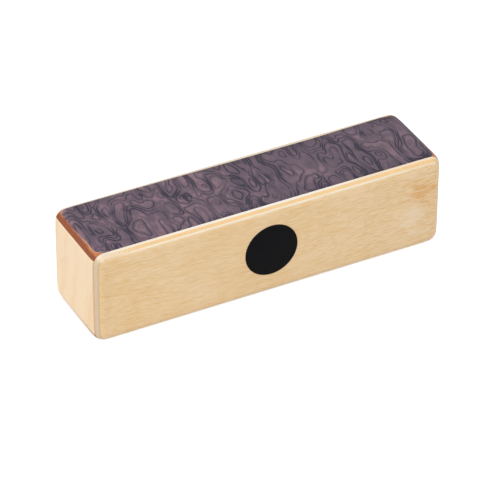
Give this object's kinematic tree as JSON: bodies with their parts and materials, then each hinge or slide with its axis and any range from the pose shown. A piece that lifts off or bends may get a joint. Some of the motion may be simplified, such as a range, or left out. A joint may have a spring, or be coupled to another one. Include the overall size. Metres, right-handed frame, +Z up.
{
  "type": "percussion shaker",
  "caption": "Long box shaker of plywood walls and burl-faced boards with every edge rounded over, end blocks, a plain round badge and loose steel shot inside.",
  "frame": {"origin": "middle of the underside", "axes": "+X along the case, the front wall with the badge faces -Y, +Z up"},
  "size_m": [0.193, 0.0503, 0.052],
  "materials": {
    "pale_face_ply": "satin lacquer over fine lengthwise grain",
    "core_ply": "satin lacquer, edge grain",
    "inner_ply": "satin lacquer, edge grain",
    "red_board": "satin lacquer, red-brown edge grain",
    "burl_veneer": "satin lacquer over dyed grey-violet burl",
    "end_wood": "satin lacquer over upright grain",
    "badge_black": "plain black, satin",
    "shot_steel": "polished steel balls"
  },
  "bodies": {
    "case": {"front_outer_ply": "pale_face_ply", "front_core_ply": "core_ply", "front_inner_ply": "inner_ply", "back_outer_ply": "pale_face_ply", "back_core_ply": "core_ply", "back_inner_ply": "inner_ply", "bottom_board": "red_board", "bottom_burl_veneer": "burl_veneer", "top_board": "red_board", "top_burl_veneer": "burl_veneer", "left_end_block": "end_wood", "right_end_block": "end_wood", "round_badge": "badge_black"},
    "shot_bed": {"shot_left_ball_1": "shot_steel", "shot_left_ball_2": "shot_steel", "shot_right_ball_1": "shot_steel", "shot_right_ball_2": "shot_steel"},
    "shot_1": {"shot_1_ball_1": "shot_steel", "shot_1_ball_2": "shot_steel", "shot_1_ball_3": "shot_steel"},
    "shot_1_top": {"shot_1_ball_4": "shot_steel", "shot_1_ball_5": "shot_steel"},
    "shot_2": {"shot_2_ball_1": "shot_steel", "shot_2_ball_2": "shot_steel", "shot_2_ball_3": "shot_steel"},
    "shot_2_top": {"shot_2_ball_4": "shot_steel", "shot_2_ball_5": "shot_steel"},
    "shot_3": {"shot_3_ball_1": "shot_steel", "shot_3_ball_2": "shot_steel", "shot_3_ball_3": "shot_steel"},
    "shot_3_top": {"shot_3_ball_4": "shot_steel", "shot_3_ball_5": "shot_steel"},
    "shot_4": {"shot_4_ball_1": "shot_steel", "shot_4_ball_2": "shot_steel", "shot_4_ball_3": "shot_steel"},
    "shot_4_top": {"shot_4_ball_4": "shot_steel", "shot_4_ball_5": "shot_steel"},
    "shot_5": {"shot_5_ball_1": "shot_steel", "shot_5_ball_2": "shot_steel", "shot_5_ball_3": "shot_steel"},
    "shot_5_top": {"shot_5_ball_4": "shot_steel", "shot_5_ball_5": "shot_steel"},
    "shot_6": {"shot_6_ball_1": "shot_steel", "shot_6_ball_2": "shot_steel", "shot_6_ball_3": "shot_steel"},
    "shot_6_top": {"shot_6_ball_4": "shot_steel", "shot_6_ball_5": "shot_steel"},
    "shot_7": {"shot_7_ball_1": "shot_steel", "shot_7_ball_2": "shot_steel", "shot_7_ball_3": "shot_steel"},
    "shot_7_top": {"shot_7_ball_4": "shot_steel", "shot_7_ball_5": "shot_steel"},
    "shot_8": {"shot_8_ball_1": "shot_steel", "shot_8_ball_2": "shot_steel", "shot_8_ball_3": "shot_steel"},
    "shot_8_top": {"shot_8_ball_4": "shot_steel", "shot_8_ball_5": "shot_steel"}
  },
  "joints": [
    {"name": "shot_bed_lengthwise", "type": "slide", "parent": "case", "child": "shot_bed", "axis": [1, 0, 0], "range_m": [-0.0272, 0.0272]},
    {"name": "shot_1_across", "type": "slide", "parent": "shot_bed", "child": "shot_1", "axis": [0, 1, 0], "range_m": [-0.01843, 0.00887]},
    {"name": "shot_1_hop", "type": "slide", "parent": "shot_1", "child": "shot_1_top", "axis": [0, 0, 1], "range_m": [0, 0.0397]},
    {"name": "shot_2_across", "type": "slide", "parent": "shot_bed", "child": "shot_2", "axis": [0, 1, 0], "range_m": [-0.00683, 0.02048]},
    {"name": "shot_2_hop", "type": "slide", "parent": "shot_2", "child": "shot_2_top", "axis": [0, 0, 1], "range_m": [0, 0.0397]},
    {"name": "shot_3_across", "type": "slide", "parent": "shot_bed", "child": "shot_3", "axis": [0, 1, 0], "range_m": [-0.01502, 0.01229]},
    {"name": "shot_3_hop", "type": "slide", "parent": "shot_3", "child": "shot_3_top", "axis": [0, 0, 1], "range_m": [0, 0.0397]},
    {"name": "shot_4_across", "type": "slide", "parent": "shot_bed", "child": "shot_4", "axis": [0, 1, 0], "range_m": [-0.01024, 0.01706]},
    {"name": "shot_4_hop", "type": "slide", "parent": "shot_4", "child": "shot_4_top", "axis": [0, 0, 1], "range_m": [0, 0.0397]},
    {"name": "shot_5_across", "type": "slide", "parent": "shot_bed", "child": "shot_5", "axis": [0, 1, 0], "range_m": [-0.02184, 0.00546]},
    {"name": "shot_5_hop", "type": "slide", "parent": "shot_5", "child": "shot_5_top", "axis": [0, 0, 1], "range_m": [0, 0.0397]},
    {"name": "shot_6_across", "type": "slide", "parent": "shot_bed", "child": "shot_6", "axis": [0, 1, 0], "range_m": [-0.00478, 0.02252]},
    {"name": "shot_6_hop", "type": "slide", "parent": "shot_6", "child": "shot_6_top", "axis": [0, 0, 1], "range_m": [0, 0.0397]},
    {"name": "shot_7_across", "type": "slide", "parent": "shot_bed", "child": "shot_7", "axis": [0, 1, 0], "range_m": [-0.01706, 0.01024]},
    {"name": "shot_7_hop", "type": "slide", "parent": "shot_7", "child": "shot_7_top", "axis": [0, 0, 1], "range_m": [0, 0.0397]},
    {"name": "shot_8_across", "type": "slide", "parent": "shot_bed", "child": "shot_8", "axis": [0, 1, 0], "range_m": [-0.01229, 0.01502]},
    {"name": "shot_8_hop", "type": "slide", "parent": "shot_8", "child": "shot_8_top", "axis": [0, 0, 1], "range_m": [0, 0.0397]}
  ]
}
